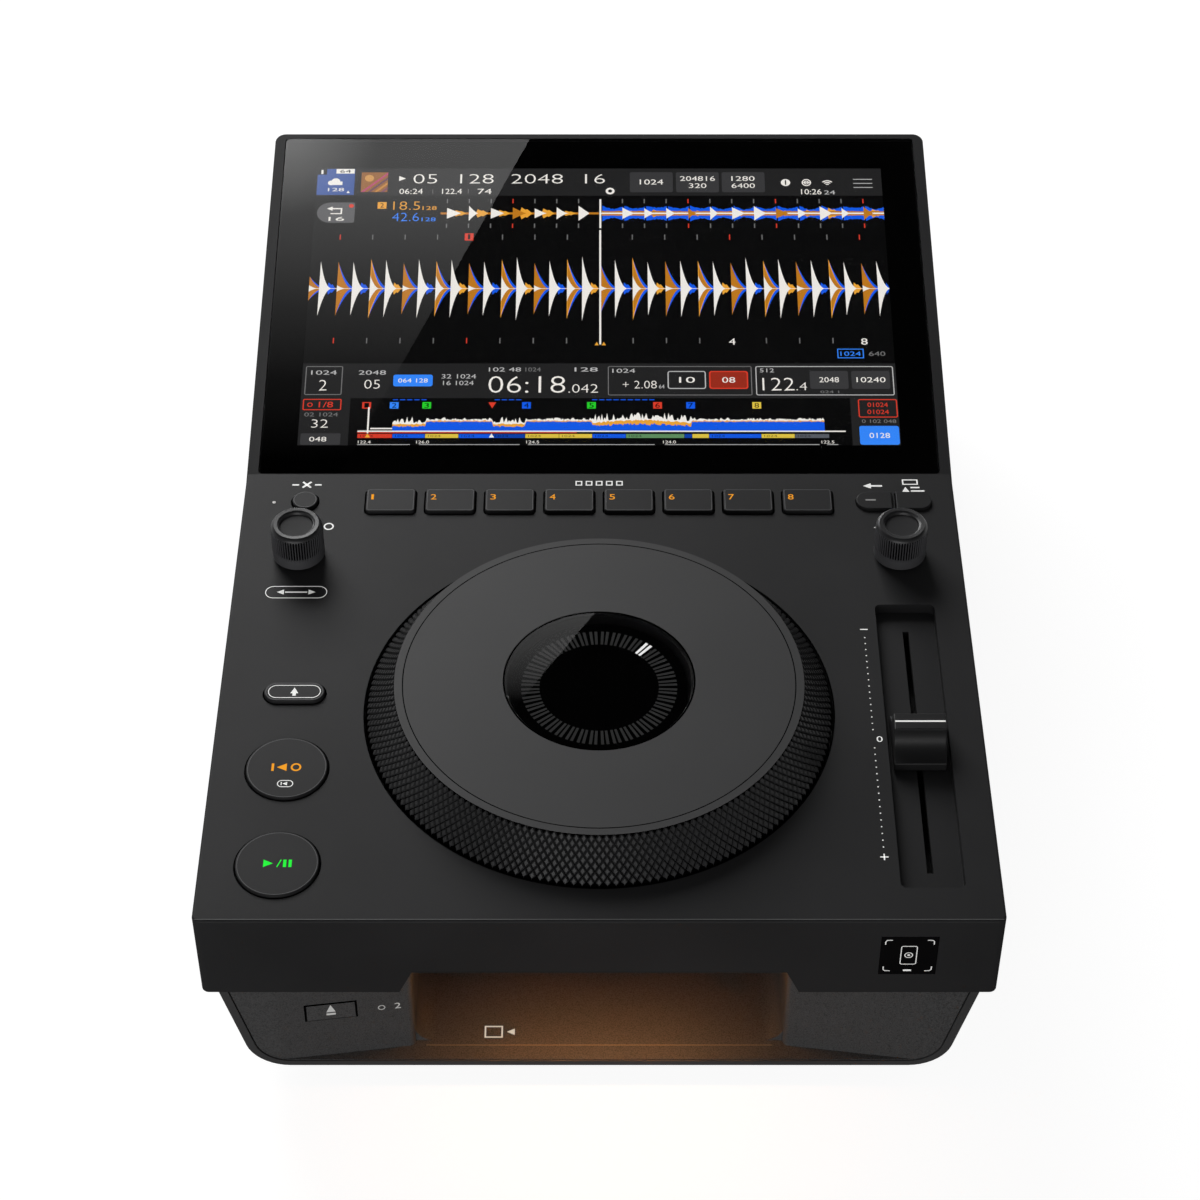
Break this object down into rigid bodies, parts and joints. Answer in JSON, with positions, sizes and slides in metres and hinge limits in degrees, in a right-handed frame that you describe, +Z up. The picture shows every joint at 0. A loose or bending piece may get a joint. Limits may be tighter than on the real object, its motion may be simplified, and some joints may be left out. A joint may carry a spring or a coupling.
{
  "type": "tabletop dj player",
  "caption": "Tabletop DJ player with a turning jog wheel, play and cue keys, hot-cue keys, a tempo fader, push knobs, a lit USB bay and a tilted screen.",
  "frame": {"origin": "on the table, under the middle of the player's outer box", "axes": "+Z up, -Y towards the user at the front edge, +X to the user's right"},
  "size_m": [0.251, 0.3682, 0.1144],
  "materials": {
    "cover": "satin charcoal coating",
    "tub": "fine-grained charcoal plastic",
    "front_panel": "speckled charcoal plastic",
    "bay": "dark plastic lit amber from above",
    "contact_metal": "plated",
    "circuit_board": "solder mask",
    "amber_light": "milky amber",
    "black_gloss": "polished black",
    "screen_glass": "polished",
    "display": "lit picture",
    "sheet_steel": "zinc plated",
    "key": "satin",
    "big_key": "satin",
    "switch_black": "moulded",
    "lamp_clear": "clear",
    "fader_cap": "satin",
    "jog_plate": "satin anodised",
    "jog_rim": "semi-gloss, knurled slope",
    "inner_plastic": "moulded",
    "bearing_steel": "ground",
    "cast_base": "die cast",
    "jog_display": "black",
    "sheet_steel_black": "black powder coat",
    "foot_rubber": "moulded",
    "screw_steel": "blackened",
    "knob": "soft coated, fine ribs"
  },
  "bodies": {
    "casing": {"top_cover": "cover", "bottom_case": "tub", "front_panel": "front_panel", "usb_bay": "bay", "usb_sockets": "contact_metal", "usb_board": "circuit_board", "bay_light_bar": "amber_light", "touch_window": "black_gloss", "touch_antenna": "circuit_board", "screen_glass": "screen_glass", "display_panel": "display", "display_bracket": "sheet_steel", "display_board": "circuit_board", "key_switches": "switch_black", "key_board": "circuit_board", "standby_light": "lamp_clear", "tempo_frame": "sheet_steel", "jog_bearing_inner": "bearing_steel", "jog_base": "cast_base", "jog_display": "jog_display", "jog_sensor": "switch_black", "main_board": "circuit_board", "power_board": "circuit_board", "rear_panel": "sheet_steel_black", "mains_inlet": "switch_black", "rear_sockets": "contact_metal", "feet": "foot_rubber", "case_screws": "screw_steel", "loop_encoder": "contact_metal", "browse_encoder": "contact_metal"},
    "jog_wheel": {"jog_plate": "jog_plate", "jog_rim": "jog_rim", "jog_hub": "inner_plastic", "jog_window": "black_gloss", "jog_encoder_disc": "contact_metal", "jog_bearing_outer": "bearing_steel"},
    "loop_push_pin": {"loop_plunger": "switch_black"},
    "loop_dial": {"loop_knob": "knob", "loop_shaft": "contact_metal"},
    "browse_push_pin": {"browse_plunger": "switch_black"},
    "browse_dial": {"browse_knob": "knob", "browse_shaft": "contact_metal"},
    "tempo_fader": {"tempo_cap": "fader_cap", "tempo_carriage": "switch_black"},
    "delete_button": {"delete_key": "key"},
    "back_button": {"back_key": "key"},
    "tag_button": {"tag_key": "key"},
    "shift_button": {"shift_key": "key"},
    "cue_button": {"cue_key": "big_key"},
    "play_button": {"play_key": "big_key"},
    "eject_button": {"eject_key": "key"},
    "power_switch": {"power_rocker": "switch_black"},
    "hot_cue_button_1": {"hot_cue_key_1": "key"},
    "hot_cue_button_2": {"hot_cue_key_2": "key"},
    "hot_cue_button_3": {"hot_cue_key_3": "key"},
    "hot_cue_button_4": {"hot_cue_key_4": "key"},
    "hot_cue_button_5": {"hot_cue_key_5": "key"},
    "hot_cue_button_6": {"hot_cue_key_6": "key"},
    "hot_cue_button_7": {"hot_cue_key_7": "key"},
    "hot_cue_button_8": {"hot_cue_key_8": "key"}
  },
  "joints": [
    {"name": "jog_spin", "type": "hinge", "parent": "casing", "child": "jog_wheel", "pos_m": [0, -0.09379, 0.079], "axis": [0, 0, 1], "continuous": true},
    {"name": "loop_push", "type": "slide", "parent": "casing", "child": "loop_push_pin", "axis": [0, 0, -1], "range_m": [0, 0.0005], "stiffness_N_per_m": 800, "springref_m": -0.0005},
    {"name": "loop_turn", "type": "hinge", "parent": "loop_push_pin", "child": "loop_dial", "pos_m": [-0.1039, -0.02109, 0.09], "axis": [0, 0, 1], "continuous": true},
    {"name": "browse_push", "type": "slide", "parent": "casing", "child": "browse_push_pin", "axis": [0, 0, -1], "range_m": [0, 0.0005], "stiffness_N_per_m": 800, "springref_m": -0.0005},
    {"name": "browse_turn", "type": "hinge", "parent": "browse_push_pin", "child": "browse_dial", "pos_m": [0.1039, -0.02109, 0.09], "axis": [0, 0, 1], "continuous": true},
    {"name": "tempo_slide", "type": "slide", "parent": "casing", "child": "tempo_fader", "axis": [0, 1, 0], "range_m": [-0.05, 0.05]},
    {"name": "hot_cue_press_1", "type": "slide", "parent": "casing", "child": "hot_cue_button_1", "axis": [0, 0, -1], "range_m": [0, 0.0006], "stiffness_N_per_m": 800, "springref_m": -0.0005},
    {"name": "hot_cue_press_2", "type": "slide", "parent": "casing", "child": "hot_cue_button_2", "axis": [0, 0, -1], "range_m": [0, 0.0006], "stiffness_N_per_m": 800, "springref_m": -0.0005},
    {"name": "hot_cue_press_3", "type": "slide", "parent": "casing", "child": "hot_cue_button_3", "axis": [0, 0, -1], "range_m": [0, 0.0006], "stiffness_N_per_m": 800, "springref_m": -0.0005},
    {"name": "hot_cue_press_4", "type": "slide", "parent": "casing", "child": "hot_cue_button_4", "axis": [0, 0, -1], "range_m": [0, 0.0006], "stiffness_N_per_m": 800, "springref_m": -0.0005},
    {"name": "hot_cue_press_5", "type": "slide", "parent": "casing", "child": "hot_cue_button_5", "axis": [0, 0, -1], "range_m": [0, 0.0006], "stiffness_N_per_m": 800, "springref_m": -0.0005},
    {"name": "hot_cue_press_6", "type": "slide", "parent": "casing", "child": "hot_cue_button_6", "axis": [0, 0, -1], "range_m": [0, 0.0006], "stiffness_N_per_m": 800, "springref_m": -0.0005},
    {"name": "hot_cue_press_7", "type": "slide", "parent": "casing", "child": "hot_cue_button_7", "axis": [0, 0, -1], "range_m": [0, 0.0006], "stiffness_N_per_m": 800, "springref_m": -0.0005},
    {"name": "hot_cue_press_8", "type": "slide", "parent": "casing", "child": "hot_cue_button_8", "axis": [0, 0, -1], "range_m": [0, 0.0006], "stiffness_N_per_m": 800, "springref_m": -0.0005},
    {"name": "delete_press", "type": "slide", "parent": "casing", "child": "delete_button", "axis": [0, 0, -1], "range_m": [0, 0.0006], "stiffness_N_per_m": 800, "springref_m": -0.0005},
    {"name": "back_press", "type": "slide", "parent": "casing", "child": "back_button", "axis": [0, 0, -1], "range_m": [0, 0.0006], "stiffness_N_per_m": 800, "springref_m": -0.0005},
    {"name": "tag_press", "type": "slide", "parent": "casing", "child": "tag_button", "axis": [0, 0, -1], "range_m": [0, 0.0006], "stiffness_N_per_m": 800, "springref_m": -0.0005},
    {"name": "shift_press", "type": "slide", "parent": "casing", "child": "shift_button", "axis": [0, 0, -1], "range_m": [0, 0.0006], "stiffness_N_per_m": 800, "springref_m": -0.0005},
    {"name": "cue_press", "type": "slide", "parent": "casing", "child": "cue_button", "axis": [0, 0, -1], "range_m": [0, 0.001], "stiffness_N_per_m": 800, "springref_m": -0.0005},
    {"name": "play_press", "type": "slide", "parent": "casing", "child": "play_button", "axis": [0, 0, -1], "range_m": [0, 0.001], "stiffness_N_per_m": 800, "springref_m": -0.0005},
    {"name": "eject_press", "type": "slide", "parent": "casing", "child": "eject_button", "axis": [-0.1314, 0.9913, 0], "range_m": [0, 0.001], "stiffness_N_per_m": 800, "springref_m": -0.0005},
    {"name": "power_rock", "type": "hinge", "parent": "casing", "child": "power_switch", "pos_m": [0.05, 0.16949, 0.0725], "axis": [-1, 0, 0], "range_deg": [0, 20]}
  ]
}
